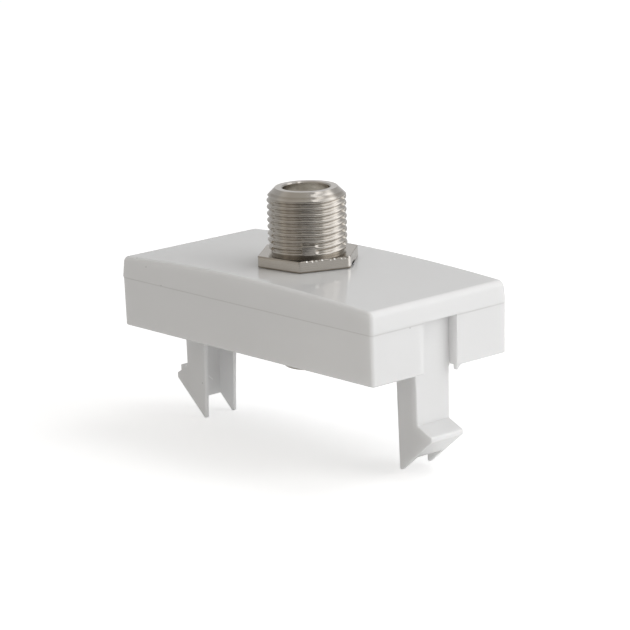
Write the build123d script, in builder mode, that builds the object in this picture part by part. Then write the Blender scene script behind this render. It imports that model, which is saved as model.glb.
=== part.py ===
from build123d import *
from math import sqrt
import os

# Television aerial socket module: a white moulded half module that snaps into a
# mounting frame by two barbed legs, with a double-ended coaxial port clamped
# through its arched top plate by a lock washer and a hexagon nut.
# Frame: origin on the port's axis in the plane of the housing's lower rim, +Z out
# of the front port, +X along the long side towards the latch leg, millimetres.

# Housing shell, measured at the mould's parting line
body_length = 45.0
body_width = 21.6
parting_height = 6.1
parting_step = 0.06
end_height = 8.65
crown_rise = 0.75
lower_draft = 0.9
upper_draft = 4.0
end_edge_radius = 0.8
side_edge_radius = 0.45
rim_chamfer = 0.12

# Walls and hollow underside
side_wall = 1.3
end_wall = 1.4
plate_thickness = 1.6
core_draft = 0.5
core_corner_radius = 0.8

# Round boss under the plate that the port is clamped through
boss_diameter = 15.0
boss_depth = 1.4
boss_draft = 1.0
port_hole_gap = 0.1

# Snap legs: each a U-shaped channel that opens towards the middle of the module
leg_width = 5.4
leg_tip_width = 5.0
web_thickness = 0.7
flange_thickness = 0.65
tip_thickness = 0.35
tip_radius = 0.15
crease_radius = 0.1
leg_edge_chamfer = 0.08
pocket_wall = 1.2
root_radius = 0.4
spur_width = 0.7
spur_depth = 0.55
spur_thickness = 0.6

# Latch leg, at the +X end: a sloped barb that stands out past the end wall
latch_face = 20.95
latch_inner_root = 17.55
latch_inner_tip = 17.7
latch_reach = 12.25
latch_shoulder = 6.45
latch_overhang = 2.3
latch_slope_drop = 1.0
latch_nose_height = 0.5
latch_nose_radius = 0.24

# Hook leg, at the -X end: a level ledge above a smaller nose
hook_face = 20.6
hook_inner_root = 16.5
hook_inner_tip = 17.4
hook_reach = 12.8
hook_shoulder = 6.6
hook_ledge = 1.3
hook_ledge_height = 0.75
hook_overhang = 2.05
hook_slope_drop = 0.45
hook_nose_height = 0.65
hook_nose_radius = 0.12

# Port body: one piece with a thread at each end of a hexagon flange. The turns stop at
# two lands, opposite each other, where the halves of the mould meet.
thread_diameter = 9.5
pitch_diameter = 9.0
thread_pitch = 0.794
ring_count = 4
ring_depth = 0.3
land_turn = -42.0
land_arc = 20.0
front_length = 9.2
rear_length = 12.55
flange_across_flats = 11.1
flange_height = 1.4
flange_turn = 9.0
flange_chamfer = 0.16
neck_diameter = 8.7
neck_length = 0.4
front_chamfer = 1.0
rear_face_diameter = 6.5
mouth_diameter = 5.7
mouth_chamfer = 0.15
rear_mouth_diameter = 4.9
rear_lip = 0.9

# Insulators and the spring contact that they centre
mouth_depth = 1.3
insulator_thickness = 2.6
press_gap = 0.01
entry_diameter = 2.0
entry_chamfer = 0.35
contact_diameter = 2.5
contact_bore = 1.3
bore_depth = 6.0
contact_seat = 1.3
contact_gap = 0.05
slot_width = 0.3
slot_length = 5.0
slot_turn = 45.0

# Lock washer with inner teeth, and the nut, under the boss
washer_diameter = 13.4
washer_thickness = 0.6
washer_gap = 0.1
tooth_count = 10
tooth_depth = 0.9
tooth_gap_width = 1.5
nut_across_flats = 11.1
nut_thickness = 2.4
nut_chamfer = 0.35
nut_gap = 0.05

# Heights and radii that follow from the sizes above
crown_height = end_height + crown_rise
ceiling_height = crown_height - plate_thickness
boss_bottom = ceiling_height - boss_depth
nut_top = boss_bottom - washer_thickness
nut_bottom = nut_top - nut_thickness
flange_top = crown_height + flange_height
front_face = crown_height + front_length
rear_face = crown_height - rear_length
thread_radius = thread_diameter / 2
pitch_radius = pitch_diameter / 2
mouth_radius = mouth_diameter / 2
half_length = body_length / 2
half_width = body_width / 2

os.makedirs("parts", exist_ok=True)


def arched_outline(crown, base):
    """Side outline from a level base up to the plate's arc at this crown height."""
    ends = crown - crown_rise
    ThreePointArc((-half_length, ends), (0, crown), (half_length, ends))
    Polyline((half_length, ends), (half_length, base), (-half_length, base), (-half_length, ends))


# Mould core: the drafted block with an arched top that leaves the hollow underside
with BuildPart() as mould_core:
    with BuildSketch():
        Rectangle(body_length - 2 * end_wall, body_width - 2 * side_wall)
    extrude(amount=crown_height, taper=core_draft)
    core_corners = mould_core.edges().filter_by(Axis.Z, tolerance=2)
    fillet(core_corners, radius=core_corner_radius)
    with BuildSketch(Plane.XZ):
        with BuildLine():
            arched_outline(ceiling_height, -1)
        make_face()
    extrude(amount=half_width, both=True, mode=Mode.INTERSECT)


def snap_leg(corners, side, face, reach):
    """Barbed leg from its side outline: (x, height, corner radius) for each corner."""
    with BuildPart() as leg:
        with BuildSketch(Plane.XZ):
            with BuildLine():
                FilletPolyline(
                    [(side * x, z) for x, z, radius in corners],
                    radius=[radius for x, z, radius in corners],
                    close=True,
                )
            make_face()
        extrude(amount=leg_width / 2, both=True)
        # Sides that draw in from the rim to the narrower tip
        with BuildSketch(Plane.YZ):
            with BuildLine():
                Polyline(
                    (-leg_width / 2, crown_height),
                    (leg_width / 2, crown_height),
                    (leg_width / 2, 0),
                    (leg_tip_width / 2, -reach),
                    (-leg_tip_width / 2, -reach),
                    (-leg_width / 2, 0),
                    close=True,
                )
            make_face()
        extrude(amount=side * body_length, mode=Mode.INTERSECT)
        # Channel between the two flanges, open towards the middle
        with BuildSketch(Plane.XY.offset(ceiling_height)):
            with Locations((side * (face / 2 - web_thickness), 0)):
                Rectangle(face, leg_width - 2 * flange_thickness)
        extrude(amount=-(ceiling_height + reach), mode=Mode.SUBTRACT)
        # Softened outer edges below the rim
        for position in (0, -1):
            low_faces = leg.faces().filter_by(lambda face: face.center().Z < 0)
            outline = low_faces.sort_by(Axis.Y)[position].edges()
            chamfer(outline.filter_by(lambda edge: edge.center().Z < 0), length=leg_edge_chamfer)
    return leg.part


# Latch leg: sloped shoulder, rounded nose and long lead-in slope
latch_nose = latch_face + latch_overhang
latch_nose_top = -latch_shoulder - latch_slope_drop
latch_leg = snap_leg(
    [
        (latch_face, crown_height - plate_thickness / 2, 0),
        (latch_face, -latch_shoulder, crease_radius),
        (latch_nose, latch_nose_top, latch_nose_radius),
        (latch_nose, latch_nose_top - latch_nose_height, latch_nose_radius),
        (latch_inner_tip + tip_thickness, -latch_reach, tip_radius),
        (latch_inner_tip, -latch_reach, tip_radius),
        (latch_inner_root, crown_height - plate_thickness / 2, 0),
    ],
    1,
    latch_face,
    latch_reach,
)

# Hook leg: level ledge, short drop, then the nose and the lead-in slope
hook_nose = hook_face + hook_overhang
hook_step = -hook_shoulder - hook_ledge_height
hook_nose_top = hook_step - hook_slope_drop
hook_leg = snap_leg(
    [
        (hook_face, crown_height - plate_thickness / 2, 0),
        (hook_face, -hook_shoulder, crease_radius),
        (hook_face + hook_ledge, -hook_shoulder, hook_nose_radius),
        (hook_face + hook_ledge, hook_step, crease_radius),
        (hook_nose, hook_nose_top, hook_nose_radius),
        (hook_nose, hook_nose_top - hook_nose_height, hook_nose_radius),
        (hook_inner_tip + tip_thickness, -hook_reach, tip_radius),
        (hook_inner_tip, -hook_reach, tip_radius),
        (hook_inner_root, crown_height - plate_thickness / 2, 0),
    ],
    -1,
    hook_face,
    hook_reach,
)

# Housing: one glossy white moulding, drafted both ways from its parting line
with BuildPart() as module_housing:
    with BuildSketch(Plane.XY.offset(parting_height)):
        Rectangle(body_length, body_width)
    extrude(amount=crown_height - parting_height, taper=upper_draft)
    with BuildSketch(Plane.XZ):
        with BuildLine():
            arched_outline(crown_height, parting_height)
        make_face()
    extrude(amount=half_width, both=True, mode=Mode.INTERSECT)
    end_edges = module_housing.edges().filter_by(Axis.Y).group_by(Axis.Z)[-1]
    fillet(end_edges, radius=end_edge_radius)
    for position in (0, -1):
        long_face = module_housing.faces().sort_by(Axis.Y)[position]
        side_edges = long_face.edges().filter_by(lambda edge: edge.center().Z > parting_height)
        fillet(side_edges, radius=side_edge_radius)
    with BuildSketch(Plane.XY.offset(parting_height)):
        RectangleRounded(
            body_length - 2 * parting_step, body_width - 2 * parting_step, side_edge_radius
        )
    extrude(amount=-parting_height, taper=lower_draft)
    rim_edges = module_housing.faces().sort_by(Axis.Z)[0].edges()
    chamfer(rim_edges, length=rim_chamfer)
    add(mould_core.part, mode=Mode.SUBTRACT)
    # Solid roots of the legs, which the pockets are then cut into from outside
    for side, face in ((1, latch_face), (-1, hook_face)):
        root_inside = face - web_thickness
        wall_middle = half_length - end_wall / 2
        with BuildSketch(Plane.XY.offset(rim_chamfer)):
            with Locations((side * (root_inside + wall_middle) / 2, 0)):
                Rectangle(wall_middle - root_inside, leg_width + 2 * pocket_wall)
        extrude(amount=ceiling_height + plate_thickness / 4)
        with BuildSketch(Plane.XY):
            with Locations((side * (face + half_length) / 2, 0)):
                Rectangle(half_length - face, leg_width)
        extrude(amount=parting_height, mode=Mode.SUBTRACT)
        # Concave roots where both sides of the leg leave the rim
        with BuildSketch(Plane.YZ.offset(side * root_inside)):
            with Locations((0, rim_chamfer - root_radius / 2)):
                Rectangle(leg_width + 2 * root_radius, root_radius)
            with GridLocations(leg_width + 2 * root_radius, 0, 2, 1):
                with Locations((0, rim_chamfer - root_radius)):
                    Circle(root_radius, mode=Mode.SUBTRACT)
        extrude(amount=side * web_thickness)
    # Small spur under the end wall, beside the latch leg's pocket
    with BuildSketch(Plane.YZ.offset(half_length - 2 * rim_chamfer)):
        with BuildLine():
            Polyline(
                (leg_width / 2, rim_chamfer),
                (leg_width / 2 + spur_width, rim_chamfer),
                (leg_width / 2, -spur_depth),
                close=True,
            )
        make_face()
    extrude(amount=-spur_thickness)
    add(latch_leg)
    add(hook_leg)
    with BuildSketch(Plane.XY.offset(ceiling_height + plate_thickness / 4)):
        Circle(boss_diameter / 2)
    extrude(amount=-(boss_depth + plate_thickness / 4), taper=boss_draft)
    with BuildSketch(Plane.XY.offset(boss_bottom)):
        Circle(thread_radius + port_hole_gap)
    extrude(amount=crown_height, mode=Mode.SUBTRACT)
module_housing.part.label = "module_housing"
export_step(module_housing.part, "parts/module_housing.step")

# Port body: one cast and plated piece, bored through. Both threads have their crest
# diameter where free and their pitch diameter inside the nut.
with BuildPart() as port_body:
    with BuildSketch(Plane.XZ):
        with BuildLine():
            Polyline(
                (0, rear_face),
                (rear_face_diameter / 2, rear_face),
                (thread_radius, rear_face + thread_radius - rear_face_diameter / 2),
                (thread_radius, nut_bottom),
                (pitch_radius, nut_bottom),
                (pitch_radius, nut_top),
                (thread_radius, nut_top),
                (thread_radius, crown_height - neck_length),
                (neck_diameter / 2, crown_height - neck_length),
                (neck_diameter / 2, flange_top + neck_length),
                (thread_radius, flange_top + neck_length),
                (thread_radius, front_face - front_chamfer),
                (thread_radius - front_chamfer, front_face),
                (0, front_face),
                close=True,
            )
        make_face()
    revolve(axis=Axis.Z)
    with BuildSketch(Plane.XY.offset(crown_height)):
        RegularPolygon(
            flange_across_flats / 2, side_count=6, major_radius=False, rotation=flange_turn
        )
    extrude(amount=flange_height)
    corner_radius = flange_across_flats / sqrt(3)
    with BuildSketch(Plane.XZ):
        with BuildLine():
            Polyline(
                (corner_radius, flange_top),
                (corner_radius - 2 * flange_chamfer, flange_top),
                (corner_radius, flange_top - flange_chamfer),
                close=True,
            )
        make_face()
    revolve(axis=Axis.Z, mode=Mode.SUBTRACT)
    # Every second turn of the front thread, as plain rings that stop at the lands
    ring_middle = (flange_top + neck_length + front_face - front_chamfer) / 2
    for turn in (land_turn, land_turn + 180):
        with BuildSketch(Plane.XZ.rotated((0, 0, turn + land_arc / 2))):
            with Locations((thread_radius, ring_middle)):
                with GridLocations(0, 2 * thread_pitch, 1, ring_count):
                    Rectangle(ring_depth * sqrt(2), ring_depth * sqrt(2), rotation=45)
        revolve(axis=Axis.Z, revolution_arc=180 - land_arc, mode=Mode.SUBTRACT)
    with BuildSketch(Plane.XY.offset(front_face)):
        Circle(mouth_radius)
    extrude(amount=-(front_face - rear_face - rear_lip), mode=Mode.SUBTRACT)
    with BuildSketch(Plane.XY.offset(rear_face)):
        Circle(rear_mouth_diameter / 2)
    extrude(amount=rear_lip, mode=Mode.SUBTRACT)
    mouth_edges = port_body.edges().filter_by(GeomType.CIRCLE).group_by(Axis.Z)
    front_mouth = mouth_edges[-1].sort_by(SortBy.RADIUS)[0]
    rear_mouth = mouth_edges[0].sort_by(SortBy.RADIUS)[0]
    chamfer([front_mouth, rear_mouth], length=mouth_chamfer)
port_body.part.label = "port_body"
export_step(port_body.part, "parts/port_body.step")


def insulator(name, outer_face, inward):
    """Moulded disc: a funnelled wire entry outside, a seat for the contact inside."""
    seat_face = outer_face + inward * insulator_thickness
    with BuildPart() as disc:
        with BuildSketch(Plane.XY.offset(outer_face)):
            Circle(mouth_radius - press_gap)
            Circle(entry_diameter / 2, mode=Mode.SUBTRACT)
        extrude(amount=inward * insulator_thickness)
        with BuildSketch(Plane.XY.offset(seat_face)):
            Circle(contact_diameter / 2 + contact_gap)
        extrude(amount=-inward * contact_seat, mode=Mode.SUBTRACT)
        rims = disc.edges().filter_by(GeomType.CIRCLE)
        outer_rims = rims.sort_by(lambda edge: abs(edge.center().Z - outer_face))[:2]
        chamfer(outer_rims.sort_by(SortBy.RADIUS)[0], length=entry_chamfer)
    disc.part.label = name
    export_step(disc.part, f"parts/{name}.step")
    return seat_face


# Insulators: the front one is pressed in from the mouth, the rear one sits on the lip
front_seat = insulator("front_insulator", front_face - mouth_depth, -1)
rear_seat = insulator("rear_insulator", rear_face + rear_lip, 1)

# Centre contact: a turned pin, bored and slotted at both ends to grip a wire
contact_top = front_seat + contact_seat - contact_gap
contact_bottom = rear_seat - contact_seat + contact_gap
with BuildPart() as centre_contact:
    with BuildSketch(Plane.XY.offset(contact_bottom)):
        Circle(contact_diameter / 2)
    extrude(amount=contact_top - contact_bottom)
    for end, inward in ((contact_top, -1), (contact_bottom, 1)):
        with BuildSketch(Plane.XY.offset(end)):
            Circle(contact_bore / 2)
        extrude(amount=inward * bore_depth, mode=Mode.SUBTRACT)
        with BuildSketch(Plane.XY.offset(end)):
            Rectangle(2 * contact_diameter, slot_width, rotation=slot_turn)
        extrude(amount=inward * slot_length, mode=Mode.SUBTRACT)
centre_contact.part.label = "centre_contact"
export_step(centre_contact.part, "parts/centre_contact.step")

# Lock washer: a stamped ring with teeth that bite the boss and the nut
with BuildPart() as lock_washer:
    with BuildSketch(Plane.XY.offset(nut_top)):
        Circle(washer_diameter / 2)
        Circle(thread_radius + washer_gap, mode=Mode.SUBTRACT)
        with PolarLocations(thread_radius + tooth_depth / 2, tooth_count):
            Rectangle(tooth_depth, tooth_gap_width, mode=Mode.SUBTRACT)
    extrude(amount=washer_thickness)
lock_washer.part.label = "lock_washer"
export_step(lock_washer.part, "parts/lock_washer.step")

# Hexagon nut, chamfered on both faces
with BuildPart() as lock_nut:
    with BuildSketch(Plane.XY.offset(nut_bottom)):
        RegularPolygon(nut_across_flats / 2, side_count=6, major_radius=False)
    extrude(amount=nut_thickness)
    nut_corner = nut_across_flats / sqrt(3)
    with BuildSketch(Plane.XZ):
        with BuildLine():
            Polyline(
                (0, nut_top),
                (nut_corner - 2 * nut_chamfer, nut_top),
                (nut_corner, nut_top - nut_chamfer),
                (nut_corner, nut_bottom + nut_chamfer),
                (nut_corner - 2 * nut_chamfer, nut_bottom),
                (0, nut_bottom),
                close=True,
            )
        make_face()
    revolve(axis=Axis.Z, mode=Mode.INTERSECT)
    with BuildSketch(Plane.XY.offset(nut_top)):
        Circle(pitch_radius + nut_gap)
    extrude(amount=-nut_thickness, mode=Mode.SUBTRACT)
lock_nut.part.label = "lock_nut"
export_step(lock_nut.part, "parts/lock_nut.step")
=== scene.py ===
import math

import bpy
from mathutils import Matrix, Vector


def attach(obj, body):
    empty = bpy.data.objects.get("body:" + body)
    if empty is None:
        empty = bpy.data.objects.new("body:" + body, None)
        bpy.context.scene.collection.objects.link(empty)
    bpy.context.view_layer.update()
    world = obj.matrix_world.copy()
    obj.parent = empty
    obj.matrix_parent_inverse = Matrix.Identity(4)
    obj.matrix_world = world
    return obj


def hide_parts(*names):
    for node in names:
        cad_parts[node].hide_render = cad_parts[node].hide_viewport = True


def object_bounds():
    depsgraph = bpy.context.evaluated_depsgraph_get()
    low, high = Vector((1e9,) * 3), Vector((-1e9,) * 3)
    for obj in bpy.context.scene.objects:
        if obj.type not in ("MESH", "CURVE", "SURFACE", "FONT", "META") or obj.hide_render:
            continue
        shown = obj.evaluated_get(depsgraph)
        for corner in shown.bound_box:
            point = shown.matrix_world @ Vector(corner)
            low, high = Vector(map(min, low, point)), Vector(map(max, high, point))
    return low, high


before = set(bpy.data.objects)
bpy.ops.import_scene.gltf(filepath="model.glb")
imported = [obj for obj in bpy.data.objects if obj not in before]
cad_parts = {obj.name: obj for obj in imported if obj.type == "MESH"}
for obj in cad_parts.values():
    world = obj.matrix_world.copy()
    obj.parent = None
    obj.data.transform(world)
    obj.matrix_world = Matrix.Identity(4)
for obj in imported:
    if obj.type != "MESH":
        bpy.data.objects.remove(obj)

cad_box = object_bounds()


# ---------------------------------------------------------------- the view
# The module stands on its two snap legs, seen from a little above over the corner
# between its front long side and the end with the latch leg, through a long lens.
view_place = Vector((0.2540949, -0.2245727, 0.0866646))
view_right = Vector((0.66887, 0.74275, -0.03060))
view_up = Vector((-0.15856, 0.18276, 0.97029))
view_back = view_right.cross(view_up)

camera_data = bpy.data.cameras.new("view")
camera_data.sensor_width = 36.0
camera_data.lens = 166.37
camera_data.clip_start = 0.01
camera_data.clip_end = 20.0
camera = bpy.data.objects.new("view", camera_data)
turned = Matrix((view_right, view_up, view_back)).transposed().to_4x4()
camera.matrix_world = Matrix.Translation(view_place) @ turned
bpy.context.scene.collection.objects.link(camera)
bpy.context.scene.camera = camera


# ---------------------------------------------------------------- housing
# The arched plate, its walls and both snap legs are one injection moulding in glossy white
# plastic. The polished mould leaves a mirror-like skin with a faint waviness, and a thin
# line of painted shade runs just under the step where it parts. The barbed legs spring into
# the frame's opening and hold there.
MM = 0.001
FLOAT = "NodeSocketFloat"
COLOR = "NodeSocketColor"


def place_node(tree, kind, inputs=None, **settings):
    """Adds a node with its settings; an input is a value or the socket that feeds it."""
    node = tree.nodes.new(kind)
    for name, value in settings.items():
        setattr(node, name, value)
    for socket, value in (inputs or {}).items():
        if isinstance(value, bpy.types.NodeSocket):
            tree.links.new(value, node.inputs[socket])
        else:
            node.inputs[socket].default_value = value
    return node


def math_node(tree, operation, *values, clamp=False):
    """Adds a Math node and gives its output."""
    node = place_node(tree, "ShaderNodeMath", dict(enumerate(values)), operation=operation)
    node.use_clamp = clamp
    return node.outputs[0]


def mix_colors(tree, share, under, over):
    """A colour that goes from the one under to the one over it as the share goes to 1."""
    node = place_node(tree, "ShaderNodeMix", {6: under, 7: over, 0: share}, data_type="RGBA")
    return node.outputs[2]


def place_on(tree):
    """The place on a piece, in metres in the module's own frame."""
    return tree.nodes.new("ShaderNodeTexCoord").outputs["Object"]


def noise(tree, place, scale, **shape):
    """Noise with its scale per metre; its detail, roughness and distortion can be given."""
    inputs = {"Vector": place, "Scale": scale}
    inputs.update((name.title(), value) for name, value in shape.items())
    return place_node(tree, "ShaderNodeTexNoise", inputs).outputs["Fac"]


def fading(tree, distance, reach, firmness):
    """A mask that is 1 at no distance and 0 at the reach; a firmer one drops later."""
    return math_node(tree, "MULTIPLY_ADD", distance, -firmness / reach, firmness, clamp=True)


def new_group(name, inputs, outputs):
    """A shader node group with float or colour sockets, its tree, input and output nodes."""
    tree = bpy.data.node_groups.new(name, "ShaderNodeTree")
    for socket, default in inputs.items():
        kind = COLOR if isinstance(default, tuple) else FLOAT
        made = tree.interface.new_socket(socket, in_out="INPUT", socket_type=kind)
        made.default_value = default
    for socket, kind in outputs.items():
        tree.interface.new_socket(socket, in_out="OUTPUT", socket_type=kind)
    return tree, tree.nodes.new("NodeGroupInput"), tree.nodes.new("NodeGroupOutput")


def new_material(name):
    """A material with one Principled shader, and that shader."""
    material = bpy.data.materials.new(name)
    material.use_nodes = True
    tree = material.node_tree
    tree.nodes.clear()
    shader = tree.nodes.new("ShaderNodeBsdfPrincipled")
    output = tree.nodes.new("ShaderNodeOutputMaterial")
    tree.links.new(shader.outputs[0], output.inputs["Surface"])
    return material, tree, shader


def lay_effect(tree, shader, effect, values, smooth, rough, relief):
    """Feeds an effect to a shader: its colour, its wear as roughness, its height as bump."""
    sockets = {name.replace("_", " ").title(): value for name, value in values.items()}
    group = place_node(tree, "ShaderNodeGroup", sockets, node_tree=effect)
    tree.links.new(group.outputs["Color"], shader.inputs["Base Color"])
    worn = place_node(
        tree,
        "ShaderNodeMapRange",
        {"Value": group.outputs["Wear"], "To Min": smooth, "To Max": rough},
    )
    tree.links.new(worn.outputs["Result"], shader.inputs["Roughness"])
    bump = place_node(
        tree,
        "ShaderNodeBump",
        {"Height": group.outputs["Height"], "Distance": relief, "Strength": 1.0},
    )
    tree.links.new(bump.outputs["Normal"], shader.inputs["Normal"])


def dress(node, material):
    """Gives a solid its finish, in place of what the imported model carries."""
    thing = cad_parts[node]
    thing.data.materials.clear()
    thing.data.materials.append(material)


shade_scale = 90.0
hairline_scale, hairline_detail, hairline_bend = 240.0, 3.0, 0.6
hairline_low, hairline_high = 0.45, 0.75


def moulded_skin_group():
    """Shade drift, dust specks, waviness and hairline rubs of a polished moulding."""
    tree, given, out = new_group(
        "moulded_skin",
        {
            "Tint": (0.8, 0.8, 0.8, 1.0),
            "Speck Tint": (0.1, 0.1, 0.1, 1.0),
            "Drift": 0.02,
            "Wave Scale": 500.0,
            "Speck Scale": 260.0,
            "Speck Size": 0.05,
            "Speck Share": 0.03,
        },
        {"Color": COLOR, "Height": FLOAT, "Wear": FLOAT},
    )
    place = place_on(tree)
    shade = math_node(tree, "SUBTRACT", noise(tree, place, shade_scale, detail=2.0), 0.5)
    shade = math_node(tree, "MULTIPLY_ADD", shade, given.outputs["Drift"], 1.0)
    tinted = place_node(
        tree,
        "ShaderNodeVectorMath",
        {0: given.outputs["Tint"], "Scale": shade},
        operation="SCALE",
    )

    cells = place_node(
        tree,
        "ShaderNodeTexVoronoi",
        {"Vector": place, "Scale": given.outputs["Speck Scale"]},
    )
    near = math_node(tree, "LESS_THAN", cells.outputs["Distance"], given.outputs["Speck Size"])
    lot = place_node(tree, "ShaderNodeSeparateColor", {"Color": cells.outputs["Color"]})
    rare = math_node(tree, "LESS_THAN", lot.outputs[0], given.outputs["Speck Share"])
    speck = math_node(tree, "MULTIPLY", near, rare)
    color = mix_colors(tree, speck, tinted.outputs[0], given.outputs["Speck Tint"])
    tree.links.new(color, out.inputs["Color"])

    wave = noise(tree, place, given.outputs["Wave Scale"], detail=1.0)
    tree.links.new(wave, out.inputs["Height"])

    hair = noise(
        tree, place, hairline_scale, detail=hairline_detail, distortion=hairline_bend
    )
    rub = place_node(
        tree,
        "ShaderNodeMapRange",
        {"Value": hair, "From Min": hairline_low, "From Max": hairline_high},
    )
    tree.links.new(rub.outputs["Result"], out.inputs["Wear"])
    return tree


moulded_skin = moulded_skin_group()
plastic_ior = 1.52
plastic_glow_depth = 0.0012


def moulding(name, polish, rubbed, wave_height, **skin):
    """A plastic moulding's finish: roughness where fresh and where rubbed, and its skin."""
    material, tree, shader = new_material(name)
    lay_effect(tree, shader, moulded_skin, skin, polish, rubbed, wave_height)
    shader.inputs["IOR"].default_value = plastic_ior
    shader.inputs["Subsurface Weight"].default_value = 1.0
    shader.inputs["Subsurface Radius"].default_value = (1.0, 1.0, 1.0)
    shader.inputs["Subsurface Scale"].default_value = plastic_glow_depth
    return material


spot_firmness = 2.0


def spots(tree, places, size):
    """A mask of small balls round places given in millimetres; the size is their radius."""
    here = place_on(tree)
    found = None
    for place in places:
        middle = tuple(way * MM for way in place)
        away = place_node(
            tree, "ShaderNodeVectorMath", {0: here, 1: middle}, operation="DISTANCE"
        )
        inside = fading(tree, away.outputs["Value"], size * MM, spot_firmness)
        found = inside if found is None else math_node(tree, "MAXIMUM", found, inside)
    return found


def places_in_row(start, step, count):
    """Evenly stepped places from a first one, in millimetres."""
    return [tuple(a + b * i for a, b in zip(start, step)) for i in range(count)]


def mark(material, mask, color):
    """Lays a colour over a finish wherever a mask of that material says."""
    tree = material.node_tree
    base = tree.nodes["Principled BSDF"].inputs["Base Color"]
    marked = mix_colors(tree, mask, base.links[0].from_socket, (*color, 1.0))
    tree.links.new(marked, base)


housing_finish = moulding(
    "glossy_white_moulding",
    polish=0.08,
    rubbed=0.14,
    wave_height=0.000004,
    tint=(0.79, 0.79, 0.79, 1.0),
    drift=0.02,
    wave_scale=420.0,
    speck_scale=330.0,
    speck_size=0.05,
    speck_share=0.02,
)

# Dark specks moulded into the plastic, and a pale rub on the inside of the hook leg
black_specks = (
    (-19.78, -10.42, 8.75),
    (-17.77, -10.67, 7.97),
    (-14.84, -10.8, 6.13),
    (22.44, -4.82, 5.9),
    (-17.76, -2.57, -8.32),
)
speck_radius, speck_color = 0.075, (0.22, 0.22, 0.22)
leg_rub = places_in_row((-19.9, 0.3, -8.4), (0.0, 0.13, -0.12), 5)
leg_rub_radius, leg_rub_color = 0.1, (0.97, 0.97, 0.97)

# Painted shade: a dark line just under the mould's parting step, where the step would shade
# the wall, outside the walls' half length and width
parting_height, parting_half = 6.02, 0.1
parting_firmness, parting_shade_strength = 1.4, 0.3
parting_shade_color = (0.5, 0.49, 0.47)
wall_x, wall_y = 21.9, 10.5


def parting_step_shade(tree):
    """A mask of the painted shade line under the parting step round the walls."""
    here = place_node(tree, "ShaderNodeSeparateXYZ", {0: place_on(tree)})
    off = math_node(tree, "SUBTRACT", here.outputs[2], parting_height * MM)
    off = math_node(tree, "ABSOLUTE", off)
    line = fading(tree, off, parting_half * MM, parting_firmness)
    end = math_node(tree, "ABSOLUTE", here.outputs[0])
    end = math_node(tree, "GREATER_THAN", end, wall_x * MM)
    side = math_node(tree, "ABSOLUTE", here.outputs[1])
    side = math_node(tree, "GREATER_THAN", side, wall_y * MM)
    outside = math_node(tree, "MAXIMUM", end, side)
    line = math_node(tree, "MULTIPLY", line, outside)
    return math_node(tree, "MULTIPLY", line, parting_shade_strength)


housing_tree = housing_finish.node_tree
mark(housing_finish, spots(housing_tree, black_specks, speck_radius), speck_color)
mark(housing_finish, spots(housing_tree, leg_rub, leg_rub_radius), leg_rub_color)
# Painted shade along the parting step
mark(housing_finish, parting_step_shade(housing_tree), parting_shade_color)
dress("module_housing", housing_finish)


# ---------------------------------------------------------------- port body
# One zinc body, cast in a die of two halves and nickel plated: a hexagon flange with a
# threaded end above and below it, and a neck where each thread runs out. It goes down
# through the plate until the flange sits on it, and the nut below draws it tight.
port_pitch = 0.794
crest_radius = 4.75
notch_depth, notch_flat = 0.25, 0.12
notch_start, notch_turn = 13.30, -60.0
thread_end, thread_runout = 17.75, 0.2

# The die's two halves don't quite meet: how low the turns sit, by azimuth
die_drops = (
    (-100.5, 0.1),
    (-50.0, 0.1),
    (-22.0, 0.25),
    (31.9, 0.02),
    (32.0, 0.6),
    (251.2, 0.4),
    (256.2, 0.1),
    (259.5, 0.1),
)
# Witness lines that fill the notches there: azimuth and share filled
seam_turns = ((-106.3, 0.35), (32.0, 0.85))
seam_half = 2.6
# Flat parting lands, steep at one edge and soft at the other. They fill the lowest
# notches, and higher up the notches keep this share of their depth.
land_turns = (-40.3, 139.7)
land_half, land_step, land_fade = 9.4, 1.6, 5.0
front_land_top, land_blend, notch_kept = 12.2, 0.25, 0.92

# Inside the washer and the nut the thread is hidden, and plain at its pitch radius
clamped_low, clamped_high = 3.4, 5.8
clamped_radius, clamped_edge = 4.5, 0.02
neck_radius, neck_length, neck_slope = 4.35, 0.4, 0.15

flange_low, flange_high = 9.4, 10.8
flange_apothem, flange_corner_radius = 5.55, 6.36
flange_turn, flange_bevel = 9.0, 0.05
flange_inner_radius = 5.0
# Wear along the hexagon's upper edge, and knocks: azimuth, half width in degrees, depth
edge_waves, edge_wear = (23.0, 41.0, 67.0), 0.008
flange_dents = (
    (-42.7, 1.8, 0.12),
    (-36.1, 2.2, 0.2),
    (-31.5, 1.8, 0.16),
    (-24.0, 1.6, 0.1),
    (-13.0, 2.2, 0.22),
    (-8.0, 1.6, 0.16),
    (0.5, 2.2, 0.2),
    (4.6, 2.2, 0.24),
)
# One corner is knocked flatter than the others
flat_corner, flat_corner_half, flat_corner_radius = 9.0, 1.5, 6.27

front_face, rear_face = 18.6, -3.15
front_cone, front_face_radius = 1.0, 3.75
rear_cone, rear_face_radius = 1.5, 3.25
mouth_radius, rear_mouth_radius = 2.85, 2.45
mouth_bevel, rear_lip = 0.15, 0.9
rim_nick, rim_nick_turn, rim_nick_half, rim_nick_slope = 0.35, 166.0, 7.0, 2.0
# Tool marks round the front cone: where they start and how far they reach, in degrees,
# over how many degrees they come and go, and how deep and wide each is
cone_mark_turn, cone_mark_reach = -36.0, 92.0
cone_mark_rise, cone_mark_fall = 4.0, 30.0
cone_mark_depth, cone_mark_pitch = 0.018, 0.5

# The mesh has rows to each turn of thread, and even columns with more beside the
# hexagon's corners and at the steep edges
front_steps, rear_steps = 16, 10
even_columns = 264
corner_half = 1.0
flat_corner_columns = (1.95, 2.22, 2.5)
edge_columns = (-51.3, -50.6, -49.7, -107.2, -106.3, -105.4, 31.1, 32.0, 32.9)
sharp_angle = 38.0


def past(degrees, turn):
    """How far an azimuth is past another, from -180 to 180 degrees."""
    return (degrees - turn + 180.0) % 360.0 - 180.0


def within(share):
    """A share kept from 0 to 1."""
    return max(0.0, min(1.0, share))


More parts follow.
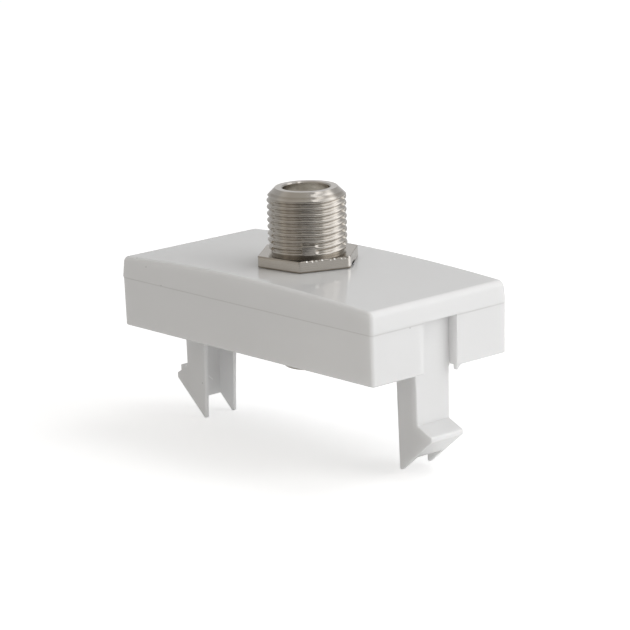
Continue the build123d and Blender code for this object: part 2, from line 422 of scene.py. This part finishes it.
def around(radius, degrees, height):
    """A point round the upright axis, which is the port's."""
    a = math.radians(degrees)
    return radius * math.cos(a), radius * math.sin(a), height


def land_share(degrees):
    """1 on a parting land and 0 away from it; one edge is steep, the other fades out."""
    for turn in land_turns:
        way = past(degrees, turn)
        if -land_half - land_step < way < land_half + land_fade:
            rise = (way + land_half + land_step) / land_step
            return min(1.0, rise, (land_half + land_fade - way) / land_fade)
    return 0.0


def die_drop(degrees):
    """How low the turns sit at that azimuth."""
    at = die_drops[0][0] + (degrees - die_drops[0][0]) % 360.0
    for (start, low), (end, high) in zip(die_drops, die_drops[1:]):
        if at <= end:
            return low + (high - low) * (at - start) / (end - start)
    return die_drops[-1][1]


def seam_share(degrees):
    """Share of the notches filled by the witness lines where the die's halves meet."""
    return max(
        0.0,
        *(fill * (1.0 - abs(past(degrees, turn)) / seam_half) for turn, fill in seam_turns),
    )


def thread_radius(height, degrees, land_top):
    """The threaded surface: round crests and notches of a cast thread, on a helix."""
    notch = notch_start + port_pitch * (degrees - notch_turn) / 360.0 - die_drop(degrees)
    from_crest = abs(((height - notch) / port_pitch) % 1.0 - 0.5)
    lowest = round((height - notch) / port_pitch) * port_pitch + notch
    way = within((2.0 * from_crest - notch_flat) / (1.0 - 2.0 * notch_flat))
    depth = notch_depth * way * way * (3.0 - 2.0 * way)
    depth *= 1.0 - seam_share(degrees)
    depth *= within((thread_end - lowest) / thread_runout)
    above = within((height - land_top) / land_blend)
    depth *= 1.0 - land_share(degrees) * (1.0 - notch_kept * above)
    return crest_radius - depth


def front_cone_radius(height, degrees):
    """The front cone, with shallow tool marks on the side where the thread starts."""
    below = front_face - height
    cone = front_face_radius + (crest_radius - front_face_radius) * below / front_cone
    way = past(degrees, cone_mark_turn)
    share = within(min(way / cone_mark_rise, (cone_mark_reach - way) / cone_mark_fall))
    groove = 0.5 - 0.5 * math.cos(2.0 * math.pi * below / cone_mark_pitch)
    return min(crest_radius, cone - share * (cone_mark_depth * groove))


def rear_cone_radius(height, degrees):
    """The rear cone, plain."""
    share = min(1.0, (height - rear_face) / rear_cone)
    return rear_face_radius + (crest_radius - rear_face_radius) * share


def hexagon_radius(degrees, inset=0.0):
    """The hexagon with its corners turned down to a circle, and one knocked flat."""
    from_face = (degrees - flange_turn) % 60.0 - 30.0
    full = (flange_apothem - inset) / math.cos(math.radians(from_face))
    corner = flange_corner_radius - inset
    way = abs(past(degrees, flat_corner))
    if way < 30.0:
        corner += flat_corner_radius - flange_corner_radius
        flat = corner * math.cos(math.radians(flat_corner_half))
        corner = flat / math.cos(math.radians(way))
    return min(full, corner)


def edge_dents(degrees):
    """How far barrelling has battered the hexagon's upper edge at that azimuth."""
    wave = sum(math.sin(math.radians(degrees * rate) + rate) for rate in edge_waves)
    worn = max(0.0, edge_wear * wave)
    for turn, half, deep in flange_dents:
        worn += deep * max(0.0, 1.0 - abs(past(degrees, turn)) / half)
    return worn


def mouth_rim(degrees):
    """The mouth's outer edge, with a nick knocked into it on the far side."""
    nick = max(0.0, 1.0 - abs(past(degrees, rim_nick_turn)) / rim_nick_half)
    return mouth_radius + mouth_bevel + rim_nick * min(1.0, rim_nick_slope * nick)


def stack_rows():
    """Heights with the rule for the radius there, from the rear mouth round to the bore."""
    rows = []

    def plain(height, radius):
        rows.append((height, lambda degrees: radius))

    def threads(low, high, steps, land_top, limit):
        count = round((high - low) / port_pitch * steps)
        for i in range(count + 1):
            z = low + (high - low) * i / count
            rows.append(
                (z, lambda d, z=z: min(thread_radius(z, d, land_top), limit(z, d)))
            )

    plain(rear_face + rear_lip, mouth_radius)
    plain(rear_face + rear_lip, rear_mouth_radius)
    plain(rear_face + mouth_bevel, rear_mouth_radius)
    plain(rear_face, rear_mouth_radius + mouth_bevel)
    threads(rear_face, clamped_low, rear_steps, clamped_low, rear_cone_radius)
    plain(clamped_low + clamped_edge, clamped_radius)
    plain(clamped_high - clamped_edge, clamped_radius)
    rear_end = flange_low - neck_length
    threads(clamped_high, rear_end, rear_steps, clamped_high, lambda z, d: crest_radius)
    plain(rear_end + neck_slope, neck_radius)
    plain(flange_low, neck_radius)
    plain(flange_low, flange_inner_radius)
    rows.append((flange_low, lambda d: hexagon_radius(d, flange_bevel)))
    rows.append((flange_low + flange_bevel, hexagon_radius))
    rows.append((lambda d: flange_high - flange_bevel - edge_dents(d), hexagon_radius))
    rows.append((flange_high, lambda d: hexagon_radius(d) - flange_bevel - edge_dents(d)))
    plain(flange_high, flange_inner_radius)
    plain(flange_high, neck_radius)
    front_start = flange_high + neck_length
    plain(front_start - neck_slope, neck_radius)
    threads(front_start, front_face, front_steps, front_land_top, front_cone_radius)
    rows.append((front_face, mouth_rim))
    plain(front_face - mouth_bevel, mouth_radius)
    return rows


def port_mesh(name):
    """One closed ring of quads: every row is a loop of points round the port's axis."""
    turns = [flange_turn + 360.0 * i / even_columns for i in range(even_columns)]
    for corner in range(6):
        for side in (-corner_half, corner_half):
            turns.append(flange_turn + (60.0 * corner + side) % 360.0)
    beside = [flat_corner + side * way for way in flat_corner_columns for side in (-1, 1)]
    for edge in (*beside, *edge_columns):
        turns.append(flange_turn + (edge - flange_turn) % 360.0)
    turns.sort()
    columns = len(turns)

    points = []
    faces = []
    rows = stack_rows()
    for height, radius in rows:
        for degrees in turns:
            z = height(degrees) if callable(height) else height
            points.append([way * MM for way in around(radius(degrees), degrees, z)])
    for j in range(len(rows)):
        low = j * columns
        high = (j + 1) % len(rows) * columns
        for i in range(columns):
            k = (i + 1) % columns
            faces.append((low + i, low + k, high + k, high + i))
    mesh = bpy.data.meshes.new(name)
    mesh.from_pydata(points, [], faces)
    mesh.update()
    mesh.shade_smooth()
    mesh.set_sharp_from_angle(angle=math.radians(sharp_angle))
    return mesh


port = bpy.data.objects.new("threaded_port", port_mesh("threaded_port"))
bpy.context.scene.collection.objects.link(port)
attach(port, "root")
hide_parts("port_body")

blotch_scale = 500.0
# Polishing lines run round the upright axis
line_scales = (250.0, 250.0, 9000.0)
# Grime and painted shade, darker low in the thread roots, end this many of their depths in
# from their radius, so that the bore stays clean
grime_and_shade_end = 2.2
grime_and_shade_spread, grime_and_shade_start = 1.4, -0.1
# How patchy the dark bands beside two edges are and how far they reach; the foot's band is
# painted contact shadow
band_patches, band_least = 0.8, 0.6
band_reach, band_firmness = 0.225, 1.8
blotch_relief, grime_and_shade_dullness = 0.8, 0.3


def plated_wear_group():
    """Polishing lines, dull patches, grime and painted shade low in the threads, and dark
    bands beside two edges, the foot's band a painted contact shadow.
    """
    tree, given, out = new_group(
        "plated_wear",
        {
            "Tint": (0.6, 0.56, 0.5, 1.0),
            "Grime": (0.1, 0.07, 0.05, 1.0),
            "Grime Radius": 0.0,
            "Grime Depth": 0.00014,
            "Dulling": 0.5,
            "Band Tint": (0.25, 0.215, 0.17, 1.0),
            "Shelf Height": 0.0,
            "Shelf Soiling": 0.0,
            "Foot Height": 0.0,
            "Foot Soiling": 0.0,
        },
        {"Color": COLOR, "Height": FLOAT, "Wear": FLOAT},
    )
    place = place_on(tree)
    parts = place_node(tree, "ShaderNodeSeparateXYZ", {0: place})
    level = place_node(
        tree, "ShaderNodeCombineXYZ", {0: parts.outputs[0], 1: parts.outputs[1]}
    )
    radius = place_node(
        tree, "ShaderNodeVectorMath", {0: level.outputs[0]}, operation="LENGTH"
    ).outputs["Value"]
    blotch = noise(tree, place, blotch_scale, detail=4.0, roughness=0.6)

    rim, depth = given.outputs["Grime Radius"], given.outputs["Grime Depth"]
    low = math_node(tree, "SUBTRACT", rim, radius)
    low = math_node(tree, "DIVIDE", low, depth, clamp=True)
    spread = math_node(tree, "MULTIPLY_ADD", blotch, grime_and_shade_spread, grime_and_shade_start, clamp=True)
    innermost = math_node(tree, "MULTIPLY_ADD", depth, -grime_and_shade_end, rim)
    outside = math_node(tree, "GREATER_THAN", radius, innermost)
    grime = math_node(tree, "MULTIPLY", low, spread, clamp=True)
    grime = math_node(tree, "MULTIPLY", grime, outside, clamp=True)

    patchy = math_node(tree, "MULTIPLY_ADD", blotch, band_patches, band_least)
    # Dark bands beside two edges; the one at the foot is painted contact shadow
    edge_band = 0.0
    for edge in ("Shelf", "Foot"):
        off = math_node(tree, "SUBTRACT", parts.outputs[2], given.outputs[edge + " Height"])
        off = math_node(tree, "ABSOLUTE", off)
        band = fading(tree, off, band_reach * MM, band_firmness)
        band = math_node(tree, "MULTIPLY", band, given.outputs[edge + " Soiling"])
        edge_band = math_node(tree, "MULTIPLY_ADD", band, patchy, edge_band, clamp=True)
    color = mix_colors(tree, grime, given.outputs["Tint"], given.outputs["Grime"])
    color = mix_colors(tree, edge_band, color, given.outputs["Band Tint"])
    tree.links.new(color, out.inputs["Color"])

    stretched = place_node(
        tree, "ShaderNodeMapping", {"Vector": place, "Scale": line_scales}
    )
    lines = noise(tree, stretched.outputs[0], 1.0, detail=3.0, roughness=0.7)
    height = math_node(tree, "MULTIPLY_ADD", blotch, blotch_relief, lines)
    tree.links.new(height, out.inputs["Height"])
    dull = math_node(tree, "MULTIPLY", blotch, given.outputs["Dulling"])
    dull = math_node(tree, "MULTIPLY_ADD", grime, grime_and_shade_dullness, dull, clamp=True)
    tree.links.new(dull, out.inputs["Wear"])
    return tree


plated_wear = plated_wear_group()


def plating(name, polish, dulled, line_height, **wear):
    """Plated metal: roughness from polished to dulled, height of its lines, and its wear."""
    material, tree, shader = new_material(name)
    lay_effect(tree, shader, plated_wear, wear, polish, dulled, line_height)
    shader.inputs["Metallic"].default_value = 1.0
    return material


port_finish = plating(
    "plated_port",
    polish=0.1,
    dulled=0.28,
    line_height=0.000005,
    tint=(0.6, 0.565, 0.52, 1.0),
    # grime and painted shade in the thread roots
    grime=(0.45, 0.41, 0.36, 1.0),
    grime_radius=0.00457,
    # a dark band along the flange's upper edge, and painted contact shadow at its foot on the
    # plate
    shelf_height=flange_high * MM,
    shelf_soiling=0.38,
    foot_height=flange_low * MM,
    foot_soiling=0.9,
)

# Metal worn bright at the knocks and down the flattened corner, lightened further there as
# painted glints
knocks = [
    around(hexagon_radius(turn), turn, flange_high - 0.5 * deep)
    for turn, half, deep in flange_dents
]
knock_wear_and_glint_radius, knock_wear_and_glint_color = 0.18, (0.95, 0.93, 0.9)
rub_turn, rub_below = 9.5, 0.15
rub_start = around(flat_corner_radius, rub_turn, flange_high - rub_below)
corner_rub_and_glint = places_in_row(rub_start, (0.0, 0.0, -0.17), 6)
corner_rub_and_glint_radius, corner_rub_and_glint_color = 0.22, (0.95, 0.91, 0.86)
# Painted shadow: black under one side of the flange, standing for a shadowed gap above the
# plate, where the metal doesn't shine
flange_gap_shadow = places_in_row((5.4, 2.15, 9.45), (-0.13, 0.16, 0.0), 9)
gap_shadow_radius, gap_shadow_color = 0.42, (0.01, 0.01, 0.01)

port_tree = port_finish.node_tree
port_shader = port_tree.nodes["Principled BSDF"]
# Worn metal and painted glints at the knocks and down the rubbed corner
mark(port_finish, spots(port_tree, knocks, knock_wear_and_glint_radius), knock_wear_and_glint_color)
mark(port_finish, spots(port_tree, corner_rub_and_glint, corner_rub_and_glint_radius), corner_rub_and_glint_color)
# Painted shadow of the gap under the flange
gap_shadowed = spots(port_tree, flange_gap_shadow, gap_shadow_radius)
mark(port_finish, gap_shadowed, gap_shadow_color)
shining = math_node(port_tree, "SUBTRACT", 1.0, gap_shadowed)
port_tree.links.new(shining, port_shader.inputs["Metallic"])
port_shader.inputs["Specular IOR Level"].default_value = 0.0
port.data.materials.append(port_finish)


# ---------------------------------------------------------------- washer and nut
# A stamped spring washer with inner teeth and a hexagon nut turned from bar, both nickel
# plated. The nut is run up the rear thread and holds the port by the boss under the plate.
fastener_finish = plating(
    "plated_fastener",
    polish=0.22,
    dulled=0.45,
    line_height=0.000008,
    tint=(0.6, 0.57, 0.52, 1.0),
    # grime and painted shade in the nut's bore
    grime=(0.14, 0.1, 0.07, 1.0),
    grime_radius=0.0048,
)
dress("lock_washer", fastener_finish)
dress("lock_nut", fastener_finish)


# ---------------------------------------------------------------- insulators
# Two moulded discs of milky plastic, pressed into the port's mouths. They carry the
# contact between them.
insulator_finish = moulding(
    "milky_insulator",
    polish=0.35,
    rubbed=0.5,
    wave_height=0.000008,
    tint=(0.76, 0.75, 0.7, 1.0),
    drift=0.05,
    wave_scale=900.0,
    speck_share=0.0,
)
dress("front_insulator", insulator_finish)
dress("rear_insulator", insulator_finish)


# ---------------------------------------------------------------- contact
# The brass tube in the port's middle, turned, then bored and slotted at both ends so that
# they grip a plug's wire. The insulators hold it.
contact_finish = plating(
    "bright_brass",
    polish=0.22,
    dulled=0.4,
    line_height=0.000004,
    tint=(0.75, 0.56, 0.3, 1.0),
    # grime and painted shade in the bore and slots
    grime=(0.2, 0.12, 0.05, 1.0),
    grime_radius=0.0007,
)
dress("centre_contact", contact_finish)


# ---------------------------------------------------------------- floor and light
# A pale studio floor under the legs, three soft lamps on the side of the latch leg's end,
# and a bright room all round that the metal and the glossy plastic mirror.
BLACK = (0.0, 0.0, 0.0, 1.0)
WHITE = (1.0, 1.0, 1.0, 1.0)
floor_radius = 3.0
floor_points = 96
floor_pale, floor_paler = (0.88, 0.88, 0.88, 1.0), (0.9, 0.9, 0.9, 1.0)
floor_grain_scale = 900.0
floor_roughness, floor_gloss = 0.9, 0.1
floor_lift = 0.5

floor_mesh = bpy.data.meshes.new("floor")
floor_mesh.from_pydata(
    [
        around(floor_radius, 360.0 * i / floor_points, cad_box[0].z)
        for i in range(floor_points)
    ],
    [],
    [tuple(range(floor_points))],
)
floor = bpy.data.objects.new("floor", floor_mesh)
bpy.context.scene.collection.objects.link(floor)

# Azimuth and elevation in degrees, distance, width and height in metres, and watts
soft_lamps = {
    "key": (25.0, 24.0, 0.9, 0.6, 0.6, 2.88),
    "low_fill": (-31.0, 8.0, 0.9, 0.6, 0.3, 1.28),
    "overhead": (60.0, 60.0, 0.9, 0.5, 0.5, 1.6),
}
for name, (azimuth, elevation, distance, width, height, power) in soft_lamps.items():
    data = bpy.data.lights.new(name, "AREA")
    data.shape = "RECTANGLE"
    data.size = width
    data.size_y = height
    data.energy = power
    lamp = bpy.data.objects.new(name, data)
    a, e = math.radians(azimuth), math.radians(elevation)
    way = Vector((math.cos(e) * math.cos(a), math.cos(e) * math.sin(a), math.sin(e)))
    lamp.location = way * distance
    lamp.rotation_euler = way.to_track_quat("Z", "Y").to_euler()
    lamp.visible_camera = False
    lamp.visible_glossy = False
    bpy.context.scene.collection.objects.link(lamp)

# Colour of the studio by azimuth, in degrees from the latch end, as glossy finishes
# mirror it: round the walls and over the floor, and overhead, where a window is open
studio_walls = (
    (-180.0, (0.46, 0.46, 0.46)),
    (-158.0, (0.44, 0.44, 0.43)),
    (-132.0, (0.34, 0.33, 0.31)),
    (-119.0, (0.5, 0.47, 0.42)),
    (-104.0, (0.3, 0.28, 0.255)),
    (-88.0, (0.37, 0.345, 0.315)),
    (-68.0, (0.2, 0.19, 0.175)),
    (-50.0, (0.15, 0.147, 0.142)),
    (-30.0, (0.15, 0.15, 0.15)),
    (-14.0, (0.3, 0.3, 0.29)),
    (2.0, (0.45, 0.45, 0.44)),
    (12.0, (1.05, 1.05, 1.04)),
    (30.0, (1.2, 1.2, 1.2)),
    (46.0, (1.3, 1.3, 1.3)),
    (54.0, (1.6, 1.6, 1.6)),
    (62.0, (1.5, 1.5, 1.5)),
    (80.0, (0.6, 0.6, 0.6)),
    (96.0, (0.48, 0.48, 0.48)),
    (114.0, (0.55, 0.55, 0.55)),
    (136.0, (0.7, 0.7, 0.7)),
    (160.0, (0.5, 0.5, 0.5)),
    (180.0, (0.46, 0.46, 0.46)),
)
studio_ceiling = (
    (-180.0, (0.85, 0.83, 0.79)),
    (-155.0, (0.58, 0.56, 0.53)),
    (-140.0, (0.45, 0.43, 0.4)),
    (-60.0, (0.47, 0.46, 0.43)),
    (-15.0, (0.5, 0.49, 0.47)),
    (14.0, (0.42, 0.42, 0.42)),
    (22.0, (1.5, 1.5, 1.5)),
    (42.0, (1.25, 1.25, 1.25)),
    (54.0, (0.6, 0.6, 0.6)),
    (70.0, (1.2, 1.2, 1.2)),
    (84.0, (2.3, 2.3, 2.3)),
    (112.0, (2.3, 2.3, 2.3)),
    (130.0, (0.45, 0.44, 0.43)),
    (155.0, (0.5, 0.49, 0.47)),
    (180.0, (0.85, 0.83, 0.79)),
)
# The light that the room gives: a little warmer from the front long side
studio_glow = (
    (-180.0, (0.403, 0.403, 0.403)),
    (-140.0, (0.435, 0.415, 0.386)),
    (-50.0, (0.435, 0.415, 0.386)),
    (0.0, (0.396, 0.403, 0.411)),
    (140.0, (0.4, 0.403, 0.406)),
    (180.0, (0.403, 0.403, 0.403)),
)
# The sines of the elevations between which the walls pass into the ceiling
ceiling_start, ceiling_full = 0.58, 0.82


def by_azimuth(tree, place, stops):
    """A colour that runs round the upright axis with the azimuth of a place."""
    parts = place_node(tree, "ShaderNodeSeparateXYZ", {0: place})
    bearing = math_node(tree, "ARCTAN2", parts.outputs[1], parts.outputs[0])
    share = math_node(tree, "MULTIPLY_ADD", bearing, 0.5 / math.pi, 0.5)
    band = place_node(tree, "ShaderNodeValToRGB", {0: share})
    ramp = band.color_ramp
    for i, (azimuth, color) in enumerate(stops):
        # A ramp comes with two stops, and a new one starts out behind those set so far
        stop = ramp.elements[i] if i < 2 else ramp.elements.new(0.99)
        stop.position = (azimuth + 180.0) / 360.0
        stop.color = (*color, 1.0)
    return band.outputs[0]


# The floor keeps the module's shadow. The camera sees it lifted towards white, and glossy
# finishes mirror the studio in its place.
floor_material, floor_tree, floor_shader = new_material("pale_floor")
floor_shader.inputs["Roughness"].default_value = floor_roughness
floor_shader.inputs["Specular IOR Level"].default_value = floor_gloss
floor_path = floor_tree.nodes.new("ShaderNodeLightPath")
seen, mirrored = floor_path.outputs["Is Camera Ray"], floor_path.outputs["Is Glossy Ray"]
floor_place = place_on(floor_tree)
grain = noise(floor_tree, floor_place, floor_grain_scale)
floor_color = mix_colors(floor_tree, grain, floor_pale, floor_paler)
floor_color = mix_colors(floor_tree, mirrored, floor_color, BLACK)
floor_tree.links.new(floor_color, floor_shader.inputs["Base Color"])
walls = by_azimuth(floor_tree, floor_place, studio_walls)
floor_glow = mix_colors(floor_tree, mirrored, WHITE, walls)
floor_tree.links.new(floor_glow, floor_shader.inputs["Emission Color"])
floor_strength = math_node(floor_tree, "MULTIPLY_ADD", seen, floor_lift, mirrored)
floor_tree.links.new(floor_strength, floor_shader.inputs["Emission Strength"])

# Seen from below the floor isn't there, so that the underside shows
floor_side = floor_tree.nodes.new("ShaderNodeNewGeometry").outputs["Backfacing"]
from_below = math_node(floor_tree, "MULTIPLY", floor_side, seen)
clear = floor_tree.nodes.new("ShaderNodeBsdfTransparent")
shown = place_node(
    floor_tree,
    "ShaderNodeMixShader",
    {0: from_below, 1: floor_shader.outputs[0], 2: clear.outputs[0]},
)
floor_output = floor_tree.nodes["Material Output"]
floor_tree.links.new(shown.outputs[0], floor_output.inputs["Surface"])
floor.data.materials.append(floor_material)

# The room is white to the camera, the studio to glossy finishes, and an even glow to the rest
world = bpy.data.worlds.new("bright_room")
bpy.context.scene.world = world
world.use_nodes = True
room = world.node_tree
room.nodes.clear()
ray = room.nodes.new("ShaderNodeLightPath")
direction = room.nodes.new("ShaderNodeTexCoord").outputs["Generated"]
upward = place_node(room, "ShaderNodeSeparateXYZ", {0: direction}).outputs[2]
ceiling_share = place_node(
    room,
    "ShaderNodeMapRange",
    {"Value": upward, "From Min": ceiling_start, "From Max": ceiling_full},
    interpolation_type="SMOOTHSTEP",
).outputs["Result"]
studio = mix_colors(
    room,
    ceiling_share,
    by_azimuth(room, direction, studio_walls),
    by_azimuth(room, direction, studio_ceiling),
)
glow = by_azimuth(room, direction, studio_glow)
room_color = mix_colors(room, ray.outputs["Is Glossy Ray"], glow, studio)
room_color = mix_colors(room, ray.outputs["Is Camera Ray"], room_color, WHITE)
background = place_node(
    room, "ShaderNodeBackground", {"Color": room_color, "Strength": 1.0}
)
world_out = room.nodes.new("ShaderNodeOutputWorld")
room.links.new(background.outputs[0], world_out.inputs["Surface"])

bpy.context.scene.view_settings.view_transform = "Standard"
